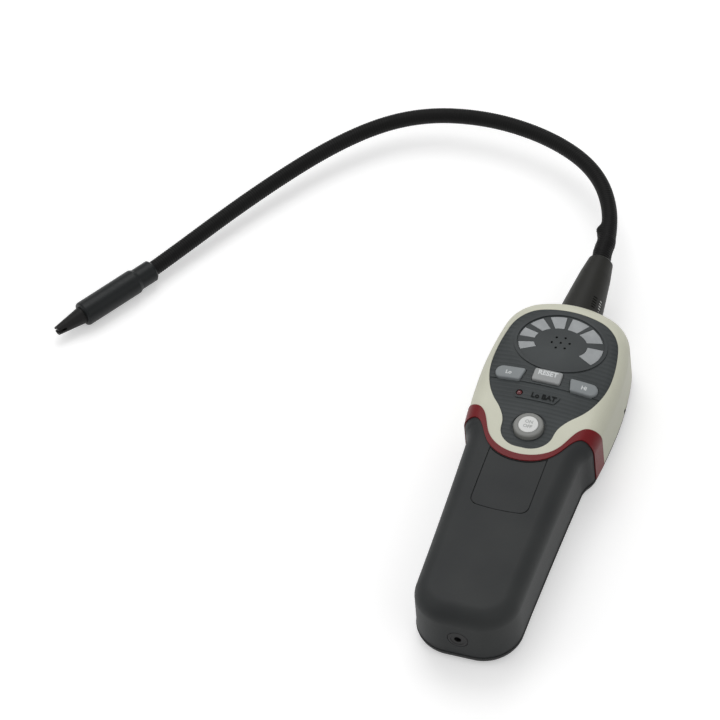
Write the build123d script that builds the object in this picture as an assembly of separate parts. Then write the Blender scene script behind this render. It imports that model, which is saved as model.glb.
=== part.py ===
# Hand-held electronic leak detector with a gooseneck probe, modelled lying on its back.
# Millimetres. +X is the user's right, +Y runs from the grip to the head, +Z comes out of the keypad.
# The origin is near the middle of the flat back, on the surface that it rests on.

from build123d import *
from functools import lru_cache
from math import cos, radians, sin, sqrt, tan
import os

# Housing
housing_length = 193.0
head_end_y = 97.8
housing_depth = 36.0
head_width = 67.6
waist_width = 56.5
grip_end_width = 52.2
grip_corner_radius = 20.0
crown_radius = 153.0
front_edge_radius = 9.0
back_edge_radius = 6.0
wall = 3.0
parting_height = 6.0
lip_height = 1.8
lip_gap = 0.1
grip_recess = 0.3
band_proud = 0.35
pry_slot_width = 3.0
pry_slot_height = 2.4
pry_slot_depth = 1.0
pry_slot_y = 61.0

# Places along the housing, measured from its middle
head_side_y = 47.0
ear_y = 20.0
waist_y = 9.0

# Red band between the head and the grip, at the middle, on the shoulder and down the side
band_width_middle = 3.4
band_width_shoulder = 7.2
band_width_side = 10.2
band_low_y = 0.0
band_shoulder_y = 20.6
band_side_y = 19.2

# Keypad panel and what shows in it
panel_thickness = 1.4
panel_gap = 0.15
panel_top_y = 89.6
panel_foot_y = 7.5
panel_width = 58.2
panel_lobe_width = 25.0
ledge_y = 45.0
ledge_step = 0.5
dish_y = 70.9
window_outer_a = 20.6
window_outer_b = 15.1
window_inner_a = 12.9
window_inner_b = 8.2
window_angles = (201, 169, 137.5, 105, 73, 37, -13)
window_spans = (18, 20, 22, 23, 26, 32, 40)
window_gap = 0.1
dish_rim_gap = 0.6
dish_rim_width = 1.4
dish_rim_height = 0.6
dish_rim_margin = 0.4
lens_plate = 0.8
lens_margin = 1.2
light_hole_margin = 2.4
sound_hole_radius = 0.6
sound_ring_radius = 4.3
label_bar_left = -12.0
label_bar_right = 10.0
label_bar_y = 38.0
label_bar_height = 5.0

# Keys
key_travel = 0.6
key_proud = 1.2
key_gap = 0.3
key_height = 7.0
key_corner = 1.0
reset_key_width = 13.9
reset_key_y = 50.0
side_key_width = 13.6
side_key_x = 18.4
side_key_y = 48.4
side_key_slant = 1.6
flange_margin = 0.7
flange_thickness = 0.7
stem_radius = 2.4
power_key_y = 19.9
power_key_radius = 7.2
power_cap_radius = 4.2
power_key_proud = 1.7
power_cap_proud = 0.25
power_cap_sink = 0.6
power_dish_width = 1.3
power_dish_depth = 0.4

# Circuit board and what it carries
board_drop = 8.8
board_thickness = 1.6
board_gap = 2.6
board_low_y = 32.0
board_high_y = 84.0
board_tongue_width = 20.0
board_tongue_y = 9.0
switch_width = 6.0
switch_height = 1.6
plunger_radius = 1.6
plunger_gap = 0.1
plunger_exposed = 0.7
plunger_length = 1.3
led_chip = 3.0
led_chip_height = 1.2
buzzer_radius = 7.0
buzzer_height = 4.5
battery_led_x = -10.3
battery_led_y = 38.3
battery_led_radius = 1.5
battery_led_hole_gap = 0.2
battery_led_length = 5.4
battery_led_proud = 0.5
battery_led_leg = 0.5
battery_led_leg_x = 0.65
connector_width = 9.0
connector_length = 8.0
connector_y = 70.0
connector_height = 8.0
board_post_radius = 2.2
board_post_places = ((22.0, 36.5), (22.5, 76.0))
board_screw_radius = 0.85
board_screw_head_radius = 1.7
board_screw_head = 1.2
board_screw_length = 5.0

# Case screws
screw_places = ((20.2, -72.0), (22.3, 9.0), (25.5, 64.0))
screw_radius = 1.4
screw_head_radius = 2.6
screw_head = 2.0
screw_sink = 1.2
screw_length = 13.0
screw_hole_gap = 0.2
pilot_gap = 0.05
post_radius = 3.6
boss_radius = 3.2
post_top = 9.0

# Batteries, their tray and their sliding cover
cell_radius = 7.15
cell_length = 50.0
cell_nub_radius = 2.7
cell_nub_length = 1.4
cell_gap = 0.1
cell_edge = 0.5
cells_per_row = 2
contact_thickness = 0.4
contact_width = 11.0
spring_length = 7.2
spring_radius = 4.0
spring_wire = 0.35
spring_turns = 4
tray_wall = 1.2
tray_end_y = -80.0
tray_flange = 1.8
tray_flange_thickness = 1.0
tray_side_gap = 0.2
cell_floor_gap = 0.45
cover_sink = 0.3
cover_thickness = 2.2
cover_tongue = 1.4
cover_tongue_thickness = 1.1
cover_gap = 0.25
rail_height = 1.4
rail_width = 3.0
thumb_rib_count = 5
thumb_rib_pitch = 2.4
thumb_rib_width = 1.0
thumb_rib_length = 14.0
thumb_rib_depth = 0.4
thumb_rib_y = 14.0

# Earphone jack in the bottom end
jack_height = 17.3
jack_bore_radius = 1.8
jack_bore_length = 11.0
jack_neck_radius = 3.6
jack_neck_gap = 0.15
jack_nut_radius = 4.9
jack_nut_thickness = 0.7
jack_recess_gap = 0.3
jack_body_width = 9.0
jack_body_height = 8.6
jack_body_length = 10.0
wire_radius = 0.6
wire_spacing = 4.0
wire_bend = 3.0

# Plate let into the grip
plate_half_width = 14.0
plate_low_y = -30.0
plate_corner = 4.5
plate_bulge = 1.6
plate_thickness = 0.8
plate_sink = 0.1
plate_groove = 0.4

# Gooseneck and its boot
neck_height = 20.5
boot_base_radius = 10.6
boot_mouth_radius = 6.1
boot_length = 35.0
boot_hole_gap = 0.2
boot_flange_radius = 11.5
boot_flange_thickness = 2.0
boot_flange_y = 88.5
boot_bore_gap = 0.3
boot_slot_count = 5
boot_slot_pitch = 1.5
boot_slot_length = 2.4
boot_slot_width = 0.7
boot_slot_depth = 0.5
boot_slot_start = 2.6
boot_slot_turn = 38.0
ferrule_radius = 4.2
ferrule_start_y = 80.0
ferrule_end_y = 104.0
ferrule_flange_radius = 5.0
ferrule_flange = 1.6
ferrule_gap = 0.15
web_thickness = 2.5
nut_flats = 10.0
nut_thickness = 3.0
sleeve_radius = 3.65
sleeve_wall = 0.7
core_gap = 0.15
core_wall = 1.2
lead_radius = 1.2

# Route of the gooseneck after the boot, chosen by eye: X, Y and height above the table
neck_route = (
    (0.0, 137.0, 20.5),
    (-3.6, 162.3, 19.8),
    (-18.6, 185.2, 18.7),
    (-45.0, 199.0, 17.2),
    (-79.0, 204.3, 15.4),
    (-113.0, 198.4, 13.6),
    (-141.5, 178.0, 11.8),
    (-172.6, 138.4, 9.2),
)
probe_start = (-208.1, 82.5)
probe_heading = (-0.575, -0.818)

# Probe
holder_radius = 6.1
holder_length = 42.0
holder_collar_radius = 5.3
holder_collar_length = 10.0
holder_edge = 1.0
holder_entry = 8.0
holder_entry_gap = 0.1
holder_bore_radius = 4.4
socket_start = 14.0
socket_length = 12.0
socket_gap = 0.1
sensor_base_radius = 3.0
sensor_base_length = 3.0
sensor_can_radius = 2.1
sensor_can_length = 16.0
tip_skirt_start = 34.0
tip_skirt_gap = 0.15
tip_gap = 0.2
tip_base_radius = 4.15
tip_end_radius = 2.2
tip_length = 14.8
tip_bore_radius = 2.5
tip_bore_end_gap = 1.0
tip_hole_radius = 1.0
tip_slot_width = 1.2
tip_slot_depth = 4.0

# Sizes that follow from the ones above
top_y = head_end_y
foot_y = head_end_y - housing_length
board_top = housing_depth - board_drop
board_bottom = board_top - board_thickness
switch_top = board_top + switch_height
plunger_top = switch_top + plunger_exposed
flange_bottom = plunger_top + 0.2
flange_top = flange_bottom + flange_thickness
crown_centre = housing_depth - crown_radius
sleeve_bore = sleeve_radius - sleeve_wall
core_radius = sleeve_bore - core_gap
core_bore = core_radius - core_wall
cover_top = cover_sink + cover_thickness
cell_height = cover_top + cell_floor_gap + cell_radius
cell_x = cell_radius + cell_gap
tray_inner = cell_x + cell_radius + tray_side_gap
cover_half = tray_inner + tray_side_gap
rail_bottom = cover_top + cover_gap
rail_top = rail_bottom + rail_height
tray_ceiling = cell_height + cell_radius + cover_gap
tray_inner_length = cells_per_row * cell_length + spring_length + 2 * contact_thickness
tray_high_y = tray_end_y + tray_inner_length
cover_high_y = tray_high_y - 0.5
jack_face_y = foot_y + grip_recess
jack_wall_y = foot_y + wall
heading_length = sqrt(probe_heading[0] ** 2 + probe_heading[1] ** 2)
heading = Vector(probe_heading[0] / heading_length, probe_heading[1] / heading_length, 0)
probe_origin = Vector(probe_start[0], probe_start[1], holder_radius)
probe_plane = Plane(origin=probe_origin, x_dir=(0, 0, 1), z_dir=heading)


def tangent_chain(start, direction, points):
    """Arcs that run on from each other without a corner, through the points in turn."""
    here = Vector(*start)
    heading_now = Vector(*direction)
    arcs = []
    for x, y in points:
        arc = TangentArc(here, (x, y), tangent=heading_now)
        arcs += arc.edges()
        heading_now = arc % 1
        here = Vector(x, y)
    return arcs, here, heading_now


def closed_half(arcs, here, heading_now, foot_y):
    """Rounds the last corner onto a level foot, mirrors the half outline and fills it."""
    inward = Vector(heading_now.Y, -heading_now.X)
    corner = (here.Y - foot_y) / (1 - inward.Y)
    foot = Vector((here + inward * corner).X, foot_y)
    arcs = [*arcs, *TangentArc(here, foot, tangent=heading_now).edges()]
    left = [mirror(arc, about=Plane.YZ) for arc in arcs]
    return make_face([*arcs, *Line(foot, (-foot.X, foot_y)).edges(), *left])


@lru_cache(maxsize=None)
def plan_face(inset=0.0):
    """The housing's outline seen from the front: wide head, waist, and a grip with round corners."""
    half_head = head_width / 2
    half_waist = waist_width / 2
    half_end = grip_end_width / 2
    chain = tangent_chain(
        (0, top_y),
        (1, 0),
        (
            (half_head - 16.0, top_y - 2.9),
            (half_head - 3.0, top_y - 17.6),
            (half_head, head_side_y),
            (half_head - 1.8, ear_y),
            (half_waist + 1.9, waist_y + 5.9),
            (half_waist, waist_y),
            (half_end, foot_y + grip_corner_radius - 1.0),
        ),
    )
    outline = closed_half(*chain, foot_y)
    if inset:
        outline = offset(outline, -inset, kind=Kind.ARC)
    return outline


def crown_bar(inset=0.0):
    """A long bar with a gently crowned top, which gives the housing its depth."""
    reach = head_width / 2 + 4
    radius = crown_radius - inset
    side_z = crown_centre + sqrt(radius**2 - reach**2)
    edges = [
        *ThreePointArc((-reach, side_z), (0, housing_depth - inset), (reach, side_z)).edges(),
        *Line((reach, side_z), (reach, inset)).edges(),
        *Line((reach, inset), (-reach, inset)).edges(),
        *Line((-reach, inset), (-reach, side_z)).edges(),
    ]
    return extrude(Plane.XZ * make_face(edges), housing_length, both=True)


@lru_cache(maxsize=None)
def housing_form(inset=0.0):
    """The whole housing as one block, with its skin moved in by the inset."""
    block = (extrude(plan_face(inset), 2 * housing_depth) & crown_bar(inset)).solids()[0]
    block = fillet(block.faces().sort_by(Axis.Z)[-1].edges(), front_edge_radius - inset)
    return fillet(block.faces().sort_by(Axis.Z)[0].edges(), back_edge_radius - inset)


def prism(outline, low=0.0, high=2 * housing_depth):
    """A flat outline drawn up between two heights."""
    return extrude(Pos(0, 0, low) * outline, high - low)


def wave_face(middle_y, flank, shoulder, side_y):
    """Everything on the head's side of a wave that dips in the middle and peaks at both shoulders."""
    reach = head_width / 2 + 6
    right = [flank, shoulder, (shoulder[0] + 3.4, (shoulder[1] + side_y) / 2), (reach, side_y)]
    left = [(-x, y) for x, y in reversed(right)]
    wave = Spline(*left, (0, middle_y), *right)
    far = top_y + 10
    return make_face(
        [
            *wave.edges(),
            *Line((reach, side_y), (reach, far)).edges(),
            *Line((reach, far), (-reach, far)).edges(),
            *Line((-reach, far), (-reach, side_y)).edges(),
        ]
    )


def head_side():
    """The region above the band's upper edge."""
    flank = (17.0, band_low_y + band_width_middle + 8.5)
    shoulder = (26.6, band_shoulder_y + band_width_shoulder - 0.6)
    return wave_face(band_low_y + band_width_middle, flank, shoulder, band_side_y + band_width_side)


def band_side():
    """The region above the band's lower edge."""
    return wave_face(band_low_y, (17.4, band_low_y + 8.6), (27.4, band_shoulder_y), band_side_y)


@lru_cache(maxsize=None)
def panel_face(grow=0.0):
    """The keypad's drop-shaped outline, wide round the windows and narrow round the power key."""
    half = panel_width / 2
    lobe = panel_lobe_width / 2
    chain = tangent_chain(
        (0, panel_top_y),
        (1, 0),
        (
            (half - 15.1, panel_top_y - 1.7),
            (half - 2.2, panel_top_y - 14.6),
            (half, panel_top_y - 31.6),
            (half - 3.1, ledge_y - 3.5),
            (lobe + 6.9, power_key_y + 11.3),
            (lobe + 2.1, power_key_y + 4.7),
            (lobe + 0.2, power_key_y - 2.0),
        ),
    )
    outline = closed_half(*chain, panel_foot_y)
    if grow:
        outline = offset(outline, grow, kind=Kind.ARC)
    return outline


def window_face(angle, span, margin=0.0):
    """One light window: a slice of the ring between two ellipses, cut by two rays from the middle."""
    outer = Ellipse(window_outer_a + margin, window_outer_b + margin)
    inner = Ellipse(window_inner_a - margin, window_inner_b - margin)
    reach = 3 * window_outer_a
    half = radians(span) / 2
    turn = radians(angle)
    squash = window_outer_b / window_outer_a
    rays = [
        (reach * cos(turn + side * half), reach * sin(turn + side * half) * squash) for side in (-1, 1)
    ]
    wedge = make_face(Polyline((0, 0), *rays, close=True))
    if margin:
        wedge = offset(wedge, margin, kind=Kind.INTERSECTION)
    return Pos(0, dish_y) * ((outer - inner) & wedge)


def window_faces(margin=0.0):
    """All the light windows, each a little wider than the one before it."""
    return [window_face(angle, span, margin) for angle, span in zip(window_angles, window_spans)]


def ring_face(outer_a, outer_b, inner_a, inner_b):
    """An elliptical ring about the middle of the windows."""
    return Pos(0, dish_y) * (Ellipse(outer_a, outer_b) - Ellipse(inner_a, inner_b))


def sound_places():
    """Where the seven buzzer holes are: one in the middle and six round it."""
    ring = [radians(60 * step + 10) for step in range(6)]
    squash = 0.8
    return [(0, dish_y)] + [
        (sound_ring_radius * cos(turn), dish_y + squash * sound_ring_radius * sin(turn)) for turn in ring
    ]


def side_key_face(side):
    """Outline of the left or right key: round outer end, slanted inner end."""
    half = side_key_width / 2
    tall = key_height / 2
    cap = half - tall
    edges = [
        *Line((-cap, tall), (half + side_key_slant / 2, tall)).edges(),
        *Line((half + side_key_slant / 2, tall), (half - side_key_slant / 2, -tall)).edges(),
        *Line((half - side_key_slant / 2, -tall), (-cap, -tall)).edges(),
        *ThreePointArc((-cap, -tall), (-half, 0), (-cap, tall)).edges(),
    ]
    face = make_face(edges)
    face = fillet(face.vertices().group_by(Axis.X)[-1], key_corner)
    if side > 0:
        face = mirror(face, about=Plane.YZ)
    return Pos(side * side_key_x, side_key_y) * face


def reset_key_face():
    """Outline of the middle key."""
    return Pos(0, reset_key_y) * RectangleRounded(reset_key_width, key_height, key_corner)


def power_key_face():
    """Outline of the round power key."""
    return Pos(0, power_key_y) * Circle(power_key_radius)


def key_places():
    """Name, outline, middle and height above the panel of each key."""
    return (
        ("key_lo", side_key_face(-1), (-side_key_x, side_key_y), key_proud),
        ("key_reset", reset_key_face(), (0, reset_key_y), key_proud),
        ("key_hi", side_key_face(1), (side_key_x, side_key_y), key_proud),
        ("power_key", power_key_face(), (0, power_key_y), power_key_proud),
    )


def both_sides(places):
    """Each place, and its mirror image across the middle of the housing."""
    return [(side * x, y) for x, y in places for side in (-1, 1)]


def posts(places, radius, low, high):
    """Round pillars at the given places."""
    return [Pos(x, y, low) * Cylinder(radius, high - low, align=(Align.CENTER, Align.CENTER, Align.MIN))
            for x, y in places]


def along_y(radius, low, high, height, x=0.0):
    """A round bar that runs along Y at a height above the table."""
    bar = Cylinder(radius, high - low, align=(Align.CENTER, Align.CENTER, Align.MIN))
    return Plane(origin=(x, low, height), x_dir=(1, 0, 0), z_dir=(0, 1, 0)) * bar


def box(x_low, x_high, y_low, y_high, z_low, z_high):
    """A block given by its six sides."""
    size = (x_high - x_low, y_high - y_low, z_high - z_low)
    return Pos(x_low, y_low, z_low) * Box(*size, align=(Align.MIN, Align.MIN, Align.MIN))


def battery_led_hole():
    """The hole for the small red light through the head and the keypad plate."""
    radius = battery_led_radius + battery_led_hole_gap
    return posts([(battery_led_x, battery_led_y)], radius, board_top, 2 * housing_depth)[0]


def front_shell(inset=0.0):
    """The hollow front half of the housing, above the parting plane."""
    outer = housing_form(inset) & prism(plan_face(-wall), parting_height)
    hollow = housing_form(wall)
    lip_room = housing_form(wall / 2 - lip_gap) & prism(plan_face(), 0, parting_height + lip_height + lip_gap)
    return outer - hollow - lip_room


def inside_of_shell():
    """What bosses and posts may fill without showing outside."""
    return housing_form(wall - 0.5)


def screw_bosses(places):
    """Bosses under the front that take the case screws."""
    bosses = [boss & inside_of_shell() for boss in posts(places, boss_radius, post_top, housing_depth)]
    pilots = posts(places, screw_radius + pilot_gap, 0, screw_sink + screw_head + screw_length + 1)
    return bosses, pilots


def build_head_cover():
    """The pale front moulding of the head, with a seat for the keypad panel."""
    shell = front_shell() & prism(head_side())
    bosses, pilots = screw_bosses(both_sides(screw_places[2:]))
    board_posts = posts(both_sides(board_post_places), board_post_radius, board_top, housing_depth)
    web_low_y = ferrule_start_y + ferrule_flange
    web = box(-head_width, head_width, web_low_y, web_low_y + web_thickness, post_top, board_bottom - lip_gap)
    shell = shell + bosses + [post & inside_of_shell() for post in board_posts]
    shell = shell + (web & inside_of_shell())
    cuts = pilots
    cuts.append(along_y(ferrule_radius + ferrule_gap, web_low_y - 1, web_low_y + web_thickness + 1, neck_height))
    cuts += posts(both_sides(board_post_places), board_screw_radius + pilot_gap, 0, board_top + board_screw_length)
    seat = prism(panel_face(panel_gap), parting_height) - housing_form(panel_thickness)
    cuts.append(seat)
    lens_seat = prism(lens_face(panel_gap), board_top) - housing_form(panel_thickness + lens_plate)
    cuts.append(lens_seat)
    cuts += [prism(face, board_top) for face in window_faces(-light_hole_margin / 2)]
    cuts += [prism(offset(face, key_gap), board_top) for _, face, _, _ in key_places()]
    cuts += posts(sound_places(), sound_hole_radius + panel_gap, board_top, 2 * housing_depth)
    cuts.append(battery_led_hole())
    cuts.append(along_y(boot_base_radius + boot_hole_gap, boot_flange_y, top_y + 5, neck_height))
    half_slot = pry_slot_width / 2
    cuts.append(box(head_width / 2 - pry_slot_depth, head_width / 2 + wall, pry_slot_y - half_slot,
                    pry_slot_y + half_slot, parting_height - 1, parting_height + pry_slot_height))
    for cut in cuts:
        shell = shell - cut
    return shell


def lens_face(grow=0.0):
    """The ring sector that carries all the light windows, open towards the keys."""
    outer = Ellipse(window_outer_a + lens_margin + grow, window_outer_b + lens_margin + grow)
    inner = Ellipse(window_inner_a - lens_margin - grow, window_inner_b - lens_margin - grow)
    return Pos(0, dish_y) * (outer - inner)


def build_accent_band():
    """The red band that follows the wave between head and grip and wraps down both sides."""
    band = prism(band_side()) - prism(head_side())
    return front_shell(-band_proud) & band


def plate_face(grow=0.0):
    """Outline of the plate in the grip: under the band, round lower corners, a slightly bowed foot."""
    half = plate_half_width + grow
    low = plate_low_y - grow
    edges = [
        *Line((-half, low + plate_bulge), (-half, ear_y)).edges(),
        *Line((-half, ear_y), (half, ear_y)).edges(),
        *Line((half, ear_y), (half, low + plate_bulge)).edges(),
        *ThreePointArc((half, low + plate_bulge), (0, low), (-half, low + plate_bulge)).edges(),
    ]
    face = make_face(edges)
    face = fillet(face.vertices().group_by(Axis.Y)[0], plate_corner)
    return face - Pos(0, -2 * plate_groove + grow) * band_side()


def build_grip_cover():
    """The dark front moulding of the grip, with the jack's hole in its foot."""
    shell = front_shell(grip_recess) - prism(band_side())
    bosses, pilots = screw_bosses(both_sides(screw_places[:2]))
    shell = shell + bosses
    for pilot in pilots:
        shell = shell - pilot
    plate_seat = prism(plate_face(plate_groove), parting_height) - housing_form(grip_recess + plate_thickness)
    shell = shell - plate_seat
    shell = shell - along_y(jack_neck_radius + jack_neck_gap, jack_face_y - 5, jack_wall_y + 1, jack_height)
    nut_room = jack_nut_radius + jack_recess_gap
    return shell - along_y(nut_room, jack_face_y - 5, jack_face_y + jack_nut_thickness, jack_height)


def build_label_plate():
    """The bare plate let into the grip under the band."""
    outer = housing_form(grip_recess + plate_sink)
    return prism(plate_face(), parting_height) & outer - housing_form(grip_recess + plate_thickness)


def cover_opening():
    """The room in the back that the battery cover slides in, open at the bottom end."""
    far = foot_y - 5
    slot = box(-cover_half, cover_half, far, cover_high_y + cover_gap, -1, rail_bottom)
    tongue = cover_half + cover_tongue
    groove_low = cover_top - cover_tongue_thickness - cover_gap
    groove = box(-tongue, tongue, far, cover_high_y + cover_gap, groove_low, rail_bottom)
    well = box(-cover_half, cover_half, jack_wall_y, cover_high_y + cover_gap, 0, rail_top + 1)
    return slot + groove + well


def build_rear_cover():
    """The back moulding: floor, lip, screw posts, and rails for the battery cover."""
    body = housing_form() & prism(plan_face(), 0, parting_height)
    shell = body - housing_form(wall)
    lip = housing_form(wall / 2) & prism(plan_face(), parting_height - 1, parting_height + lip_height)
    shell = shell + (lip - housing_form(wall))
    pillars = []
    for place in both_sides(screw_places):
        pillars += [post & inside_of_shell() for post in posts([place], post_radius, 1, parting_height)]
        free = housing_form(wall + lip_gap)
        pillars += [post & free for post in posts([place], post_radius, parting_height - 1, post_top)]
    rails = [
        box(side * (cover_half + rail_width / 2) - rail_width / 2,
            side * (cover_half + rail_width / 2) + rail_width / 2,
            jack_wall_y - 0.5, cover_high_y + wall, wall - 0.5, rail_top)
        for side in (-1, 1)
    ]
    shell = shell + pillars + [rail & inside_of_shell() for rail in rails]
    shell = shell - cover_opening()
    sink = screw_sink + screw_head
    for hole in posts(both_sides(screw_places), screw_head_radius + screw_hole_gap, -1, sink):
        shell = shell - hole
    for hole in posts(both_sides(screw_places), screw_radius + screw_hole_gap, 0, post_top + 1):
        shell = shell - hole
    return shell


def build_battery_cover():
    """The sliding cover in the back, with side tongues and a ribbed patch for the thumb."""
    half = cover_half - cover_gap
    tongue = half + cover_tongue
    plate = box(-half, half, foot_y, cover_high_y, cover_sink, cover_top)
    tongues = box(-tongue, tongue, foot_y, cover_high_y, cover_top - cover_tongue_thickness, cover_top)
    cover = (plate + tongues) & housing_form(0.0)
    for rib in range(thumb_rib_count):
        low = thumb_rib_y + rib * thumb_rib_pitch - thumb_rib_width / 2
        cover = cover - box(-thumb_rib_length / 2, thumb_rib_length / 2, low, low + thumb_rib_width,
                            0, cover_sink + thumb_rib_depth)
    return cover


def build_case_screws():
    """Six pan-head screws that hold the back to the two front mouldings."""
    places = both_sides(screw_places)
    heads = posts(places, screw_head_radius, screw_sink, screw_sink + screw_head)
    shanks = posts(places, screw_radius, screw_sink + screw_head, screw_sink + screw_head + screw_length)
    return Compound([head + shank for head, shank in zip(heads, shanks)])


def build_keypad_panel():
    """The dark keypad plate, its dish rim, ledge and label bar, and all its holes."""
    upper = prism(panel_face(), board_top) & housing_form()
    lower_cut = box(-head_width, head_width, foot_y, ledge_y, 0, 2 * housing_depth) - housing_form(ledge_step)
    plate = upper - lower_cut - housing_form(panel_thickness)
    rim_inner_a = window_outer_a + dish_rim_gap
    rim_inner_b = window_outer_b + dish_rim_gap
    rim = prism(ring_face(rim_inner_a + dish_rim_width, rim_inner_b + dish_rim_width,
                          rim_inner_a, rim_inner_b), board_top)
    rim = (rim & prism(panel_face(-dish_rim_margin))) & housing_form(-dish_rim_height)
    plate = plate + (rim - housing_form(panel_thickness / 2))
    bar = make_face(Polyline(
        (label_bar_left, label_bar_y - label_bar_height / 2),
        (label_bar_right - label_bar_height / 2, label_bar_y - label_bar_height / 2),
        (label_bar_right, label_bar_y + label_bar_height / 2),
        (label_bar_left, label_bar_y + label_bar_height / 2), close=True))
    bar = prism(fillet(bar.vertices(), key_corner), board_top) & housing_form()
    plate = plate + (bar - housing_form(panel_thickness / 2))
    well = power_key_radius + power_dish_width
    dish = prism(Pos(0, power_key_y) * Circle(well), board_top) - housing_form(ledge_step + power_dish_depth)
    plate = plate - dish
    cuts = [prism(face, board_top) for face in window_faces()]
    cuts += [prism(offset(face, key_gap), board_top) for _, face, _, _ in key_places()]
    cuts += posts(sound_places(), sound_hole_radius, board_top, 2 * housing_depth)
    cuts.append(battery_led_hole())
    for cut in cuts:
        plate = plate - cut
    return plate


def build_led_lens():
    """One light guide: a thin ring behind the panel with seven windows standing up through it."""
    plate = prism(lens_face(), board_top) & housing_form(panel_thickness)
    plate = plate - housing_form(panel_thickness + lens_plate)
    windows = [prism(face, board_top) for face in window_faces(-window_gap)]
    windows = [window & housing_form(window_gap) for window in windows]
    windows = [window - housing_form(panel_thickness + lens_plate / 2) for window in windows]
    return plate + windows


def key_body(face, middle, proud):
    """A key: a cap through the panel, a flange that holds it in, and a stem down to its switch."""
    cap = prism(face, flange_bottom) & housing_form(-proud)
    flange = prism(offset(face, flange_margin, kind=Kind.ARC), flange_bottom, flange_top)
    stem = posts([middle], stem_radius, plunger_top, flange_bottom)[0]
    return cap + flange + stem


def build_keys():
    """The four keys, the white cap of the power key and the plungers that they press."""
    made = {}
    for name, face, middle, proud in key_places():
        made[name] = key_body(face, middle, proud)
        low = plunger_top - plunger_length
        made[name.replace("key_", "plunger_").replace("power_key", "plunger_power")] = posts(
            [middle], plunger_radius, low, plunger_top)[0]
    cap_column = prism(Pos(0, power_key_y) * Circle(power_cap_radius), board_top)
    pocket = cap_column - housing_form(power_cap_sink - power_key_proud)
    made["power_key"] = made["power_key"] - pocket
    made["power_key_cap"] = pocket & housing_form(-power_key_proud - power_cap_proud)
    return made


def build_key_switches():
    """Four press switches on the board, each with a round hole for its plunger."""
    bodies = []
    half = switch_width / 2
    floor = plunger_top - plunger_length - key_travel - plunger_gap
    for _, _, (x, y), _ in key_places():
        body = box(x - half, x + half, y - half, y + half, board_top, switch_top)
        bodies.append(body - posts([(x, y)], plunger_radius + plunger_gap, floor, switch_top)[0])
    return Compound(bodies)


def build_main_board():
    """The circuit board: fills the head, with a tongue under the power key."""
    outline = plan_face(wall + board_gap)
    reach = head_width
    upper = make_face(Polyline((-reach, board_low_y), (reach, board_low_y), (reach, board_high_y),
                               (-reach, board_high_y), close=True))
    half = board_tongue_width / 2
    tongue = make_face(Polyline((-half, board_tongue_y), (half, board_tongue_y), (half, board_low_y + 1),
                                (-half, board_low_y + 1), close=True))
    board = prism((outline & upper) + tongue, board_bottom, board_top)
    for hole in posts(both_sides(screw_places), boss_radius + board_gap / 4, 0, housing_depth):
        board = board - hole
    for hole in posts(both_sides(board_post_places), board_screw_radius + screw_hole_gap, 0, housing_depth):
        board = board - hole
    return board


def build_board_screws():
    """Four small screws that hold the board up to its posts."""
    places = both_sides(board_post_places)
    heads = posts(places, board_screw_head_radius, board_bottom - board_screw_head, board_bottom)
    shanks = posts(places, board_screw_radius, board_bottom, board_top + board_screw_length - 0.5)
    return Compound([head + shank for head, shank in zip(heads, shanks)])


def build_indicator_leds():
    """Seven light chips on the board, one under each window."""
    chips = []
    a = (window_outer_a + window_inner_a) / 2
    b = (window_outer_b + window_inner_b) / 2
    half = led_chip / 2
    for angle in window_angles:
        x = a * cos(radians(angle))
        y = dish_y + b * sin(radians(angle))
        chips.append(box(x - half, x + half, y - half, y + half, board_top, board_top + led_chip_height))
    return Compound(chips)


def build_low_battery_led():
    """The round red light beside the label bar, on two legs."""
    crown = housing_depth - battery_led_x**2 / (2 * crown_radius) + battery_led_proud
    low = crown - battery_led_length
    body = posts([(battery_led_x, battery_led_y)], battery_led_radius, low, crown - battery_led_radius)[0]
    dome = Pos(battery_led_x, battery_led_y, crown - battery_led_radius) * Sphere(battery_led_radius)
    led = body + dome
    for side in (-1, 1):
        x = battery_led_x + side * battery_led_leg_x
        half = battery_led_leg / 2
        led = led + box(x - half, x + half, battery_led_y - half, battery_led_y + half, board_top, low + half)
    return led


def build_buzzer():
    """The round buzzer behind the seven holes."""
    can = posts([(0, dish_y)], buzzer_radius, board_top, board_top + buzzer_height)[0]
    mouth = posts([(0, dish_y)], sound_hole_radius * 2, board_top + buzzer_height / 2, housing_depth)[0]
    return can - mouth


def build_lead_connector():
    """The socket under the board that the sensor's lead plugs into."""
    half = connector_width / 2
    low = board_bottom - connector_height
    return box(-half, half, connector_y - connector_length, connector_y, low, board_bottom)


def build_battery_tray():
    """The tray that holds the cells, open towards the battery cover."""
    outer = tray_inner + tray_wall
    high = tray_ceiling + tray_wall
    shell = box(-outer, outer, tray_end_y - tray_wall, tray_high_y + tray_wall, rail_top, high)
    shell = shell - box(-tray_inner, tray_inner, tray_end_y, tray_high_y, 0, tray_ceiling)
    edge = outer + tray_flange
    flange = box(-edge, edge, tray_end_y, tray_high_y, rail_top, rail_top + tray_flange_thickness)
    flange = flange - box(-tray_inner, tray_inner, tray_end_y, tray_high_y, 0, tray_ceiling)
    for pillar in posts(both_sides(screw_places[:2]), post_radius + cover_gap, 0, housing_depth):
        flange = flange - pillar
    return shell + flange


def cell_starts(side):
    """Where each cell of a row begins; the right row is turned round, so its spring is at the other end."""
    spare = spring_length if side > 0 else 0
    first = tray_end_y + contact_thickness + spare
    return [first + number * cell_length for number in range(cells_per_row)]


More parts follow.
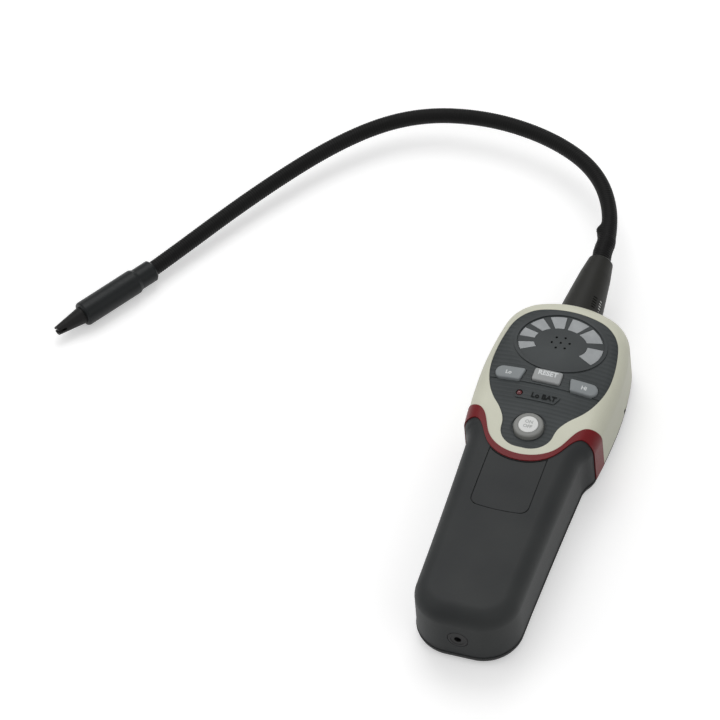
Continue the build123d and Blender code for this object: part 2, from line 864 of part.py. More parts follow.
def build_battery_cells():
    """The cells, in two rows that lie opposite ways."""
    cells = {}
    number = 0
    for side in (-1, 1):
        for start in cell_starts(side):
            number += 1
            end = start + cell_length
            can_low = start + cell_nub_length if side < 0 else start
            can_high = end if side < 0 else end - cell_nub_length
            can = along_y(cell_radius, can_low, can_high, cell_height, side * cell_x)
            can = fillet(can.edges(), cell_edge)
            nub = along_y(cell_nub_radius, start, end, cell_height, side * cell_x)
            middle = (start + end) / 2
            nub_low = middle if side > 0 else start
            nub_half = box(-head_width, head_width, nub_low, nub_low + cell_length / 2, 0, housing_depth)
            cells["battery_cell_%d" % number] = can + (nub & nub_half)
    return cells


def build_contact_plates():
    """Thin metal plates: one across both rows at the foot, one for each row at the head."""
    half = contact_width / 2
    low = cell_height - half
    high = cell_height + half
    foot = box(-cell_x - half, cell_x + half, tray_end_y, tray_end_y + contact_thickness, low, high)
    heads = [
        box(side * cell_x - half, side * cell_x + half, tray_high_y - contact_thickness, tray_high_y, low, high)
        for side in (-1, 1)
    ]
    return Compound([foot, *heads])


def build_contact_springs():
    """One coil spring at the flat end of each row."""
    springs = []
    clear = 2 * spring_wire + 0.1
    path = Helix((spring_length - clear) / spring_turns, spring_length - clear, spring_radius)
    section = Plane(origin=path @ 0, z_dir=path % 0) * Circle(spring_wire)
    coil = sweep(section, path=path)
    for side in (-1, 1):
        start = tray_end_y + contact_thickness if side > 0 else tray_high_y - contact_thickness - spring_length
        place = Plane(origin=(side * cell_x, start + clear / 2, cell_height), x_dir=(1, 0, 0), z_dir=(0, 1, 0))
        springs.append((place * coil).solids()[0])
    return Compound(springs)


def bent_wire(points, bend, radius):
    """A round wire along straight runs joined by arcs."""
    path = FilletPolyline(*points, radius=bend)
    section = Plane(origin=path @ 0, z_dir=path % 0) * Circle(radius)
    return sweep(section, path=path)


def build_battery_leads():
    """Two wires from the tray's head end up to the board."""
    start = tray_high_y + tray_wall
    wires = []
    for side in (-1, 1):
        x = side * board_tongue_width / 4
        points = [(x, start, cell_height), (x, start + 2 * wire_bend, cell_height),
                  (x, start + 2 * wire_bend, board_bottom)]
        wires.append(bent_wire(points, wire_bend, wire_radius).solids()[0])
    return Compound(wires)


def build_jack_leads():
    """Two wires from the jack, along the top of the tray, up to the board's tongue."""
    start = jack_wall_y + jack_neck_gap + jack_body_length
    height = tray_ceiling + tray_wall + wire_radius + 0.1
    wires = []
    for side in (-1, 1):
        x = side * wire_spacing / 2
        end = board_tongue_y + wire_bend
        points = [(x, start, height), (x, end, height), (x, end, board_bottom)]
        wires.append(bent_wire(points, wire_bend, wire_radius).solids()[0])
    return Compound(wires)


def build_jack_socket():
    """The earphone jack: a square body behind the wall and a round neck through it."""
    front = jack_wall_y + jack_neck_gap
    half = jack_body_width / 2
    tall = jack_body_height / 2
    body = box(-half, half, front, front + jack_body_length, jack_height - tall, jack_height + tall)
    neck = along_y(jack_neck_radius, jack_face_y + 0.1, front + 1, jack_height)
    bore = along_y(jack_bore_radius, jack_face_y - 1, jack_face_y + 0.1 + jack_bore_length, jack_height)
    return body + neck - bore


def build_jack_nut():
    """The round nut that holds the jack in the grip's foot."""
    nut = along_y(jack_nut_radius, jack_face_y, jack_face_y + jack_nut_thickness, jack_height)
    return nut - along_y(jack_neck_radius + 0.05, jack_face_y - 1, jack_face_y + 2, jack_height)


def turned_along_y(profile):
    """A turned piece about the gooseneck's first axis, from pairs of radius and Y."""
    face = Plane.XY * make_face(Polyline(*profile, close=True))
    return Pos(0, 0, neck_height) * revolve(face, Axis.Y)


def build_gooseneck_boot():
    """The tapered rubber boot, with its flange inside the head and short slots near its base."""
    bore = sleeve_radius + boot_bore_gap
    wide_bore = ferrule_radius + boot_bore_gap
    mouth_y = top_y + boot_length
    neck_low = boot_flange_y + boot_flange_thickness
    profile = [
        (wide_bore, boot_flange_y), (boot_flange_radius, boot_flange_y), (boot_flange_radius, neck_low),
        (boot_base_radius, neck_low), (boot_base_radius, top_y), (boot_base_radius - 0.9, top_y + 8),
        (boot_mouth_radius + 1.5, top_y + 0.72 * boot_length), (boot_mouth_radius, mouth_y - 1.0),
        (boot_mouth_radius - 1.0, mouth_y), (bore, mouth_y), (bore, ferrule_end_y + boot_bore_gap),
        (wide_bore, ferrule_end_y + boot_bore_gap),
    ]
    boot = turned_along_y(profile)
    for number in range(boot_slot_count):
        y = top_y + boot_slot_start + number * boot_slot_pitch
        surface = boot_base_radius - 0.11 * (y - top_y)
        slot = Pos(0, 0, surface) * Box(boot_slot_length, boot_slot_width, 2 * boot_slot_depth)
        boot = boot - Pos(0, y, neck_height) * Rot(0, boot_slot_turn, 0) * slot
    return boot


def build_neck_ferrule():
    """The metal end piece of the gooseneck, with a flange behind the head's web."""
    bore = core_radius + ferrule_gap / 2
    flange_high = ferrule_start_y + ferrule_flange
    profile = [
        (bore, ferrule_start_y), (ferrule_flange_radius, ferrule_start_y), (ferrule_flange_radius, flange_high),
        (ferrule_radius, flange_high), (ferrule_radius, ferrule_end_y), (bore, ferrule_end_y),
    ]
    return turned_along_y(profile)


def build_neck_nut():
    """The hexagon nut that clamps the ferrule to the web."""
    low = ferrule_start_y + ferrule_flange + web_thickness
    hexagon = RegularPolygon(nut_flats / 2, 6, major_radius=False)
    nut = Plane(origin=(0, low, neck_height), x_dir=(1, 0, 0), z_dir=(0, 1, 0)) * extrude(hexagon, nut_thickness)
    return nut - along_y(ferrule_radius + 0.05, low - 1, low + nut_thickness + 1, neck_height)


def neck_path(start_y, into_probe):
    """The gooseneck's centre line from inside the head to inside the probe."""
    points = [Vector(0, start_y, neck_height)]
    points += [Vector(*point) for point in neck_route]
    points += [probe_origin, probe_origin + heading * into_probe]
    runs = [(b - a).length for a, b in zip(points, points[1:])]
    bends = []
    for before, here, after, run, next_run in zip(points, points[1:], points[2:], runs, runs[1:]):
        turn = radians((here - before).get_angle(after - here))
        bends.append(0.45 * min(run, next_run) / tan(turn / 2))
    return FilletPolyline(*points, radius=bends)


def neck_tube(outer, start_y, into_probe, inner=0.0):
    """A round tube or bar along the gooseneck's centre line."""
    path = neck_path(start_y, into_probe)
    section = Circle(outer) - Circle(inner) if inner else Circle(outer)
    return sweep(Plane(origin=path @ 0, z_dir=path % 0) * section, path=path)


def turned_on_probe(profile):
    """A turned piece about the probe's axis, from pairs of radius and distance from the probe's start."""
    face = make_face(Polyline(*[(radius, 0, along) for radius, along in profile], close=True))
    return probe_plane * revolve(face, Axis.Z)


def build_probe_holder():
    """The grip tube at the probe's end: collar, step and a larger barrel, hollow for the sensor's socket."""
    entry = sleeve_radius + holder_entry_gap
    collar = holder_collar_radius
    profile = [
        (entry, 0), (collar - holder_edge, 0), (collar, holder_edge), (collar, holder_collar_length - 0.5),
        (holder_radius, holder_collar_length + 1.2), (holder_radius, holder_length - holder_edge),
        (holder_radius - 0.3 * holder_edge, holder_length - 0.3 * holder_edge),
        (holder_radius - holder_edge, holder_length), (holder_bore_radius, holder_length),
        (holder_bore_radius, holder_entry + 2), (entry, holder_entry + 2),
    ]
    return turned_on_probe(profile)


def build_sensor_socket():
    """The round socket inside the barrel that the sensor plugs into."""
    radius = holder_bore_radius - socket_gap
    end = socket_start + socket_length
    return turned_on_probe([(0, socket_start), (radius, socket_start), (radius, end), (0, end)])


def build_sensor_element():
    """The sensor: a wide base on its socket and a slim can that reaches into the tip."""
    start = socket_start + socket_length
    mid = start + sensor_base_length
    end = mid + sensor_can_length
    return turned_on_probe([(0, start), (sensor_base_radius, start), (sensor_base_radius, mid),
                            (sensor_can_radius, mid), (sensor_can_radius, end), (0, end)])


def build_sensor_tip():
    """The conical guard that pulls off the probe, with a slot across its open end."""
    skirt = holder_bore_radius - tip_skirt_gap
    base = holder_length + tip_gap
    end = base + tip_length
    bore_end = socket_start + socket_length + sensor_base_length + sensor_can_length + tip_bore_end_gap
    profile = [
        (tip_bore_radius, tip_skirt_start), (skirt, tip_skirt_start), (skirt, base - 0.05),
        (tip_base_radius, base), (tip_base_radius, base + 0.8), (tip_end_radius, end),
        (tip_hole_radius, end), (tip_hole_radius, bore_end), (tip_bore_radius, bore_end - 0.6),
    ]
    slot = Box(tip_slot_width, 4 * tip_end_radius, tip_slot_depth, align=(Align.CENTER, Align.CENTER, Align.MAX))
    return turned_on_probe(profile) - probe_plane * Rot(0, 0, 25) * Pos(0, 0, end) * slot


def build_all():
    """Every piece by name."""
    made = {
        "head_cover": build_head_cover(),
        "accent_band": build_accent_band(),
        "grip_cover": build_grip_cover(),
        "rear_cover": build_rear_cover(),
        "battery_cover": build_battery_cover(),
        "case_screws": build_case_screws(),
        "keypad_panel": build_keypad_panel(),
        "led_lens": build_led_lens(),
        "label_plate": build_label_plate(),
        "key_switches": build_key_switches(),
        "main_board": build_main_board(),
        "board_screws": build_board_screws(),
        "indicator_leds": build_indicator_leds(),
        "low_battery_led": build_low_battery_led(),
        "buzzer": build_buzzer(),
        "lead_connector": build_lead_connector(),
        "battery_tray": build_battery_tray(),
        "contact_plates": build_contact_plates(),
        "contact_springs": build_contact_springs(),
        "battery_leads": build_battery_leads(),
        "jack_leads": build_jack_leads(),
        "jack_socket": build_jack_socket(),
        "jack_nut": build_jack_nut(),
        "gooseneck_boot": build_gooseneck_boot(),
        "neck_ferrule": build_neck_ferrule(),
        "neck_nut": build_neck_nut(),
        "gooseneck_sleeve": neck_tube(sleeve_radius, ferrule_end_y + 0.1, holder_entry, sleeve_bore),
        "gooseneck_core": neck_tube(core_radius, ferrule_start_y + 0.2, holder_entry, core_bore),
        "sensor_lead": neck_tube(lead_radius, connector_y, socket_start),
        "probe_holder": build_probe_holder(),
        "sensor_socket": build_sensor_socket(),
        "sensor_element": build_sensor_element(),
        "sensor_tip": build_sensor_tip(),
    }
    made.update(build_keys())
    made.update(build_battery_cells())
    return made


os.makedirs("parts", exist_ok=True)
for name, shape in build_all().items():
    export_step(shape, "parts/%s.step" % name)
    print(name, len(shape.solids()), "solid(s)", round(shape.volume), "mm3")
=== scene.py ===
# %% [markdown]
# # Dressing a leak detector
#
# The object is a hand-held gas leak detector: a two-colour moulded housing with a keypad, and a long
# bendable neck that ends in a sensor probe. Its solids come ready made, so this notebook only gives
# them finishes, and adds what is too fine to be a solid: the ribs of the rubber sleeve, the rounded
# rims of the keys, the printed words on them, and pale dashes on the boot that are painted glints.
#
# All lengths below are in metres, as Blender's are. X points to the right of the housing, Y from the
# grip to the head, and Z away from the surface that the detector lies on.

import math

import bpy
import numpy as np
from mathutils import Matrix, Vector


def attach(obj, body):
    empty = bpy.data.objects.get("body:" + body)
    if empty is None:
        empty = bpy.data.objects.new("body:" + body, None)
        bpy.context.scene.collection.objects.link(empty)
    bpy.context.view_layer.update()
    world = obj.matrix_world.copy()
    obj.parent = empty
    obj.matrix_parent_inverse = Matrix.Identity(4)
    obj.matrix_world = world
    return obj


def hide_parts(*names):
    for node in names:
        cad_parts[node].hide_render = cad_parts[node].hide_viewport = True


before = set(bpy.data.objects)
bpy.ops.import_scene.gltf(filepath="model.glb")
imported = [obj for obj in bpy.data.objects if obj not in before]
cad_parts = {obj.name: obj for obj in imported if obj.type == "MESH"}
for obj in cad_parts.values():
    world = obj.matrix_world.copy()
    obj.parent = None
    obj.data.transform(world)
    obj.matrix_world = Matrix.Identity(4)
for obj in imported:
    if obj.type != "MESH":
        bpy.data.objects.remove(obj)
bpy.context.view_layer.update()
print("nodes:", len(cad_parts))

# %% [markdown]
# ## The camera
#
# A small object shot from far away with a long lens looks almost parallel, as in a catalogue. So the
# camera stands 13 m off, and the lens is worked out from how many pixels one millimetre takes in the
# picture. The direction is an azimuth round the object, an elevation above the table, and a small roll.

# %% The camera
MM = 0.001
azimuth, elevation, roll = math.radians(21.74), math.radians(53.03), math.radians(-5.22)
camera_distance = 13.3
pixels_per_metre = 2121.0
picture_side = 720
sensor_side = 36.0

backward = Vector(
    (math.sin(azimuth) * math.cos(elevation), -math.cos(azimuth) * math.cos(elevation), math.sin(elevation))
)
level_right = Vector((math.cos(azimuth), math.sin(azimuth), 0.0))
level_up = backward.cross(level_right)
right = level_right * math.cos(roll) + level_up * math.sin(roll)
up = backward.cross(right)
keypad_middle = Vector((0.0, 48.9, 36.0)) * MM
aim = keypad_middle + (right * (360 - 546.8) - up * (360 - 378.9)) / pixels_per_metre
place = aim + backward * camera_distance

camera_data = bpy.data.cameras.new("camera")
camera_data.sensor_width = sensor_side
camera_data.lens = pixels_per_metre * camera_distance * sensor_side / picture_side
camera = bpy.data.objects.new("camera", camera_data)
bpy.context.scene.collection.objects.link(camera)
camera.matrix_world = Matrix(
    (
        (right.x, up.x, backward.x, place.x),
        (right.y, up.y, backward.y, place.y),
        (right.z, up.z, backward.z, place.z),
        (0.0, 0.0, 0.0, 1.0),
    )
)
bpy.context.scene.camera = camera
bpy.context.scene.view_settings.view_transform = "Standard"
print("lens", round(camera_data.lens, 1), "mm, right", [round(v, 4) for v in right])

# %% [markdown]
# ## Nodes of a material, made short
#
# Every finish below is a few shader nodes. Three small helpers keep the recipes readable: one adds a
# node and fills its sockets, one turns a colour measured on a picture into the linear numbers that a
# shader wants, and one starts a material with its own shader and coordinates.

# %% Helpers for materials
def linear(red, green, blue):
    """A colour of 0 to 255 as linear numbers: ((c / 255 + 0.055) / 1.055) to the power 2.4."""
    channels = np.array([red, green, blue]) / 255.0
    return (*(((channels + 0.055) / 1.055) ** 2.4), 1.0)


def add(tree, kind, settings=None, **sockets):
    """Adds a shader node. Settings are its properties. A socket takes a number or another socket."""
    node = tree.nodes.new("ShaderNode" + kind)
    for name, value in (settings or {}).items():
        setattr(node, name, value)
    for name, value in sockets.items():
        key = int(name[1:]) if name[0] == "i" and name[1:].isdigit() else name.replace("_", " ")
        if isinstance(value, bpy.types.NodeSocket):
            tree.links.new(value, node.inputs[key])
        else:
            node.inputs[key].default_value = value
    return node


def start(name, roughness, **sockets):
    """A new material with its shader, and the Object coordinates that patterns are laid on."""
    material = bpy.data.materials.new(name)
    material.use_nodes = True
    tree = material.node_tree
    shader = tree.nodes["Principled BSDF"]
    shader.inputs["Roughness"].default_value = roughness
    for key, value in sockets.items():
        shader.inputs[key.replace("_", " ")].default_value = value
    coordinates = add(tree, "TexCoord").outputs["Object"]
    return material, tree, shader, coordinates


def maths(tree, operation, first, second=0.0):
    """One sum of the Math node."""
    return add(tree, "Math", {"operation": operation}, i0=first, i1=second).outputs[0]


def spread(tree, value, low, high, to_low, to_high):
    """Carries a value from the range low to high over to the range to_low to to_high."""
    return add(
        tree, "MapRange", None, Value=value, From_Min=low, From_Max=high, To_Min=to_low, To_Max=to_high
    ).outputs[0]


# %% [markdown]
# ## Moulded plastic
#
# A moulding's colour is almost even, yet never quite: the resin is a little cloudy over centimetres,
# and the steel mould has a fine spark-eroded grain that breaks up the gloss. Image textures could show
# that, but noise in Object coordinates needs no file and never stretches. One recipe serves every
# plastic here: a broad noise tints the colour, and a fine one makes the bump and varies the roughness.

# %% The recipe for moulded plastic
def plastic(name, pale, dark, roughness, grain=0.5, depth=0.012, cloud=25.0, **sockets):
    """Cloudy colour between dark and pale, grain in mm across, depth of the bump in mm."""
    material, tree, shader, coordinates = start(name, roughness, **sockets)
    broad = add(tree, "TexNoise", None, Vector=coordinates, Scale=1000.0 / cloud, Detail=3.0).outputs["Fac"]
    fine = add(tree, "TexNoise", None, Vector=coordinates, Scale=1000.0 / grain, Detail=2.0).outputs["Fac"]
    mixed = maths(tree, "ADD", maths(tree, "MULTIPLY", broad, 0.6), maths(tree, "MULTIPLY", fine, 0.4))
    tint = add(tree, "Mix", {"data_type": "RGBA"}, i0=spread(tree, mixed, 0.35, 0.65, 0.0, 1.0))
    tint.inputs[6].default_value = dark
    tint.inputs[7].default_value = pale
    tree.links.new(tint.outputs[2], shader.inputs["Base Color"])
    gloss = spread(tree, fine, 0.3, 0.7, roughness - 0.05, roughness + 0.05)
    tree.links.new(gloss, shader.inputs["Roughness"])
    relief = add(tree, "Bump", None, Height=fine, Distance=depth * MM, Strength=1.0)
    tree.links.new(relief.outputs["Normal"], shader.inputs["Normal"])
    return material


finishes = {
    "cream": plastic("cream", linear(214, 214, 196), linear(205, 205, 187), 0.48, 0.45, 0.01),
    "accent_red": plastic(
        "accent_red", linear(118, 18, 24), linear(107, 15, 21), 0.42, 0.6, 0.008, Specular_IOR_Level=0.25
    ),
    "back_dark": plastic(
        "back_dark", linear(36, 37, 38), linear(30, 31, 32), 0.6, 0.7, 0.03, Specular_IOR_Level=0.25
    ),
    "key_grey": plastic("key_grey", linear(136, 141, 143), linear(128, 133, 135), 0.55, 0.5, 0.01),
    "reset_grey": plastic("reset_grey", linear(156, 158, 158), linear(148, 150, 150), 0.55, 0.5, 0.01),
    "ring_grey": plastic("ring_grey", linear(136, 137, 134), linear(128, 129, 126), 0.5, 0.5, 0.01),
    "cap_white": plastic("cap_white", linear(222, 223, 221), linear(214, 215, 213), 0.4, 0.6, 0.006),
    "part_black": plastic(
        "part_black", linear(28, 28, 29), linear(22, 22, 23), 0.45, 0.6, 0.01, Specular_IOR_Level=0.3
    ),
    "boot_black": plastic(
        "boot_black", linear(39, 39, 36), linear(33, 33, 30), 0.5, 0.7, 0.02, Specular_IOR_Level=0.25
    ),
    "holder_black": plastic(
        "holder_black", linear(28, 31, 32), linear(22, 25, 26), 0.42, 0.7, 0.02, Specular_IOR_Level=0.25
    ),
    "tip_black": plastic(
        "tip_black", linear(27, 26, 26), linear(21, 20, 20), 0.5, 0.5, 0.015, Specular_IOR_Level=0.25
    ),
    "cell_jacket": plastic("cell_jacket", linear(60, 64, 70), linear(50, 54, 60), 0.3, 2.0, 0.004),
    "wire_red": plastic("wire_red", linear(150, 25, 28), linear(135, 20, 24), 0.35, 0.5, 0.005),
    "led_white": plastic("led_white", linear(235, 236, 225), linear(225, 226, 214), 0.25, 0.5, 0.003),
}
print("plastics:", ", ".join(finishes))

# %% [markdown]
# ## The soft grip
#
# The grip is the darkest moulding, with a fine leathery texture that takes the shine off. Under a
# studio light its flat front reads as dark grey and its round sides fall to black, so the colour is
# dark, and a little sheen lifts it where the light grazes.

# %% The grip
def soft_grip():
    """Two sizes of texture over each other: cells 0.7 mm wide, and noise of 0.25 mm in them."""
    material, tree, shader, coordinates = start("grip_dark", 0.55, Specular_IOR_Level=0.25)
    cells = add(tree, "TexVoronoi", None, Vector=coordinates, Scale=1000.0 / 0.7).outputs["Distance"]
    fine = add(tree, "TexNoise", None, Vector=coordinates, Scale=1000.0 / 0.25, Detail=2.0).outputs["Fac"]
    broad = add(tree, "TexNoise", None, Vector=coordinates, Scale=1000.0 / 35.0, Detail=2.0).outputs["Fac"]
    height = maths(tree, "ADD", cells, maths(tree, "MULTIPLY", fine, 0.5))
    tint = add(tree, "Mix", {"data_type": "RGBA"}, i0=spread(tree, broad, 0.35, 0.65, 0.0, 1.0))
    tint.inputs[6].default_value = linear(44, 46, 47)
    tint.inputs[7].default_value = linear(51, 53, 53)
    tree.links.new(tint.outputs[2], shader.inputs["Base Color"])
    tree.links.new(spread(tree, fine, 0.3, 0.7, 0.5, 0.6), shader.inputs["Roughness"])
    relief = add(tree, "Bump", None, Height=height, Distance=0.02 * MM, Strength=0.8)
    tree.links.new(relief.outputs["Normal"], shader.inputs["Normal"])
    return material


finishes["grip_dark"] = soft_grip()

# %% [markdown]
# ## The ribbed keypad plate
#
# The plate has fine ribs that run across it, 2.35 mm apart, everywhere but in the oval dish that holds
# the lights. Real ribs could be cut, but they are only a tenth of a millimetre high, so a bump does it:
# a sine of Y, faded to nothing inside an ellipse round the dish.

# %% The keypad plate
rib_pitch = 2.35 * MM
dish_middle_y = 70.9 * MM
dish_half_width, dish_half_height = 23.4 * MM, 17.9 * MM


def ribbed_plate():
    """Height = sine of (Y times a full turn per pitch), times the share that lies outside the dish."""
    material, tree, shader, coordinates = start("panel_grey", 0.5, Specular_IOR_Level=0.25)
    split = add(tree, "SeparateXYZ", None, Vector=coordinates)
    wave = maths(tree, "SINE", maths(tree, "MULTIPLY", split.outputs["Y"], 2 * math.pi / rib_pitch))
    across = maths(tree, "DIVIDE", split.outputs["X"], dish_half_width)
    from_dish = maths(tree, "SUBTRACT", split.outputs["Y"], dish_middle_y)
    lengthwise = maths(tree, "DIVIDE", from_dish, dish_half_height)
    across_squared = maths(tree, "MULTIPLY", across, across)
    ellipse = maths(tree, "ADD", across_squared, maths(tree, "MULTIPLY", lengthwise, lengthwise))
    outside = spread(tree, ellipse, 1.0, 1.15, 0.0, 1.0)
    ribs = maths(tree, "MULTIPLY", wave, outside)
    fine = add(tree, "TexNoise", None, Vector=coordinates, Scale=1000.0 / 0.4, Detail=2.0).outputs["Fac"]
    broad = add(tree, "TexNoise", None, Vector=coordinates, Scale=1000.0 / 20.0, Detail=2.0).outputs["Fac"]
    # Colour: a random cloudy tone plus the rib wave, which paints shade, lighter on the crests and darker in
    # the troughs.
    tone_and_rib_shade = maths(tree, "ADD", broad, maths(tree, "MULTIPLY", ribs, 0.1))
    tint = add(tree, "Mix", {"data_type": "RGBA"}, i0=spread(tree, tone_and_rib_shade, 0.3, 0.7, 0.0, 1.0))
    tint.inputs[6].default_value = linear(54, 58, 59)
    tint.inputs[7].default_value = linear(65, 69, 70)
    tree.links.new(tint.outputs[2], shader.inputs["Base Color"])
    height = maths(tree, "ADD", ribs, maths(tree, "MULTIPLY", fine, 0.12))
    relief = add(tree, "Bump", None, Height=height, Distance=0.09 * MM, Strength=1.0)
    tree.links.new(relief.outputs["Normal"], shader.inputs["Normal"])
    return material


finishes["panel_grey"] = ribbed_plate()

# %% [markdown]
# ## Light windows and the small lamp
#
# The seven windows are one frosted light guide. Unlit, it looks like pale grey glass: light enters and
# comes back softened, which is what subsurface scattering does. The low-battery lamp is a clear red
# lens, so it gets a smooth coat over a deep red.

# %% Windows and lamp
def frosted(name, pale, dark, roughness, depth_of_light, **sockets):
    """A cloudy colour, with light scattered under the skin to the given depth in metres."""
    material, tree, shader, coordinates = start(name, roughness, **sockets)
    broad = add(tree, "TexNoise", None, Vector=coordinates, Scale=1000.0 / 6.0, Detail=3.0).outputs["Fac"]
    tint = add(tree, "Mix", {"data_type": "RGBA"}, i0=spread(tree, broad, 0.35, 0.65, 0.0, 1.0))
    tint.inputs[6].default_value = dark
    tint.inputs[7].default_value = pale
    tree.links.new(tint.outputs[2], shader.inputs["Base Color"])
    shader.inputs["Subsurface Weight"].default_value = 0.3
    shader.inputs["Subsurface Radius"].default_value = (depth_of_light,) * 3
    fine = add(tree, "TexNoise", None, Vector=coordinates, Scale=1000.0 / 0.8, Detail=1.0).outputs["Fac"]
    relief = add(tree, "Bump", None, Height=fine, Distance=0.006 * MM, Strength=1.0)
    tree.links.new(relief.outputs["Normal"], shader.inputs["Normal"])
    return material


finishes["window_grey"] = frosted(
    "window_grey", linear(143, 147, 149), linear(132, 136, 138), 0.35, 0.6 * MM, Coat_Weight=0.3
)
finishes["led_red"] = frosted(
    "led_red", linear(110, 16, 26), linear(80, 10, 18), 0.12, 0.4 * MM, Coat_Weight=1.0
)

# %% [markdown]
# ## Metals and the circuit board
#
# Screws and contacts are plated steel with faint turning lines, the neck's end fitting is brass, and
# the board is green lacquer over fibreglass, whose weave just shows as two crossed waves.

# %% Metals and board
def metal(name, colour, roughness):
    """Metal whose roughness changes in fine streaks."""
    material, tree, shader, coordinates = start(name, roughness, Metallic=1.0, Base_Color=colour)
    stretched = add(tree, "Mapping", None, Vector=coordinates, Scale=(300.0, 2500.0, 2500.0)).outputs[0]
    streaks = add(tree, "TexNoise", None, Vector=stretched, Scale=1.0, Detail=2.0).outputs["Fac"]
    gloss = spread(tree, streaks, 0.3, 0.7, roughness - 0.08, roughness + 0.08)
    tree.links.new(gloss, shader.inputs["Roughness"])
    return material


def lacquered_board():
    """Weave: the product of a sine of X and a sine of Y, 0.8 mm apart."""
    material, tree, shader, coordinates = start("board_green", 0.3, Coat_Weight=0.4)
    split = add(tree, "SeparateXYZ", None, Vector=coordinates)
    turns = 2 * math.pi / (0.8 * MM)
    wave_x = maths(tree, "SINE", maths(tree, "MULTIPLY", split.outputs["X"], turns))
    wave_y = maths(tree, "SINE", maths(tree, "MULTIPLY", split.outputs["Y"], turns))
    weave = maths(tree, "MULTIPLY", wave_x, wave_y)
    tint = add(tree, "Mix", {"data_type": "RGBA"}, i0=spread(tree, weave, -1.0, 1.0, 0.0, 1.0))
    tint.inputs[6].default_value = linear(22, 78, 48)
    tint.inputs[7].default_value = linear(30, 92, 58)
    tree.links.new(tint.outputs[2], shader.inputs["Base Color"])
    return material


finishes["steel"] = metal("steel", linear(200, 202, 205), 0.32)
finishes["brass"] = metal("brass", linear(198, 170, 104), 0.34)
finishes["board_green"] = lacquered_board()

# %% [markdown]
# ## Putting the finishes on the solids
#
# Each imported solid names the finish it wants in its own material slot, so one short loop over the
# nodes does the dressing. Some share a name but not a look: the jack's ring is a blackened nut.

# %% Dress the solids
finish_of = {"jack_nut": "part_black", "label_plate": "grip_dark"}
for name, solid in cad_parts.items():
    for slot in solid.material_slots:
        wanted = finish_of.get(name, slot.material.name.split(".")[0])
        slot.material = finishes.get(wanted, slot.material)
plain = {s.material.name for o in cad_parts.values() for s in o.material_slots}
print("finishes in use:", ", ".join(sorted(plain)))

# %% [markdown]
# ## Meshes from numbers
#
# The new pieces are surfaces on a grid: rows along the piece, columns round it. One helper joins a grid
# of points to quads, closes the seam where the last column meets the first, and puts a lid on each end.

# %% From grids of points to a piece
def skin_of(points, first):
    """Corners and faces of one grid. Quads join neighbours, the columns close on themselves, and each
    end gets a middle point and a fan of triangles, so that the skin has no hole."""
    rows, columns, _ = points.shape
    index = first + np.arange(rows * columns).reshape(rows, columns)
    beside = np.roll(index, -1, axis=1)
    quads = np.stack([index[:-1], beside[:-1], beside[1:], index[1:]], axis=-1).reshape(-1, 4)
    low, high = first + rows * columns, first + rows * columns + 1
    near = np.stack([beside[0], index[0], np.full(columns, low)], axis=-1)
    far = np.stack([index[-1], beside[-1], np.full(columns, high)], axis=-1)
    ends = np.array([points[0].mean(axis=0), points[-1].mean(axis=0)])
    return np.concatenate([points.reshape(-1, 3), ends]), quads.tolist() + near.tolist() + far.tolist()


def piece_from_grids(name, grids, finish, body="detector"):
    """One piece from one or more closed skins."""
    corners, faces = [], []
    for points in grids:
        more, joined = skin_of(points, sum(len(c) for c in corners))
        corners.append(more)
        faces += joined
    mesh = bpy.data.meshes.new(name)
    mesh.from_pydata(np.concatenate(corners).tolist(), [], faces)
    mesh.polygons.foreach_set("use_smooth", np.ones(len(mesh.polygons), dtype=bool))
    mesh.materials.append(finish)
    piece = bpy.data.objects.new(name, mesh)
    bpy.context.scene.collection.objects.link(piece)
    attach(piece, body)
    print(name, "has", len(mesh.polygons), "faces")
    return piece


# %% [markdown]
# ## The line of the neck
#
# The neck keeps whatever curve it was bent to. A smooth spline through a few guide points gives that
# curve: a NURBS of order 3 bends evenly and needs only the corners of the route. Blender works the
# spline out, and the mesh of a curve without bevel is simply its points, in order.

# %% The line of the neck
neck_route = np.array(
    [
        (0.0, 104.1, 20.5),
        (0.0, 137.0, 20.5),
        (-3.6, 162.3, 19.8),
        (-18.6, 185.2, 18.7),
        (-45.0, 199.0, 17.2),
        (-79.0, 204.3, 15.4),
        (-113.0, 198.4, 13.6),
        (-141.5, 178.0, 11.8),
        (-172.6, 138.4, 9.2),
        (-208.1, 82.5, 6.1),
        (-212.70, 75.95, 6.1),
    ]
)
line_data = bpy.data.curves.new("neck_line", "CURVE")
line_data.dimensions = "3D"
line_data.resolution_u = 32
spline = line_data.splines.new("NURBS")
spline.points.add(len(neck_route) - 1)
weights = np.ones((len(neck_route), 1))
spline.points.foreach_set("co", np.hstack([neck_route * MM, weights]).ravel())
spline.order_u = 3
spline.use_endpoint_u = True
line_object = bpy.data.objects.new("neck_line", line_data)
bpy.context.scene.collection.objects.link(line_object)
bpy.context.view_layer.update()
line_mesh = bpy.data.meshes.new_from_object(line_object.evaluated_get(bpy.context.evaluated_depsgraph_get()))
line_points = np.empty(len(line_mesh.vertices) * 3)
line_mesh.vertices.foreach_get("co", line_points)
line_points = line_points.reshape(-1, 3)
bpy.data.objects.remove(line_object)
bpy.data.meshes.remove(line_mesh)
steps = np.linalg.norm(np.diff(line_points, axis=0), axis=1)
run = np.concatenate([[0.0], np.cumsum(steps)])
print("the neck's line is", round(run[-1] * 1000, 1), "mm long,", len(line_points), "points")

# %% [markdown]
# ## The ribbed sleeve
#
# A rubber sleeve covers the metal core. It has fine ribs all the way, and next to the boot it is bunched
# up: fatter, creased, with one blister on the inside of the bend. Modelling that as a tube whose radius
# is a formula of distance and angle keeps every rib real, so its edge is ribbed against the light too.

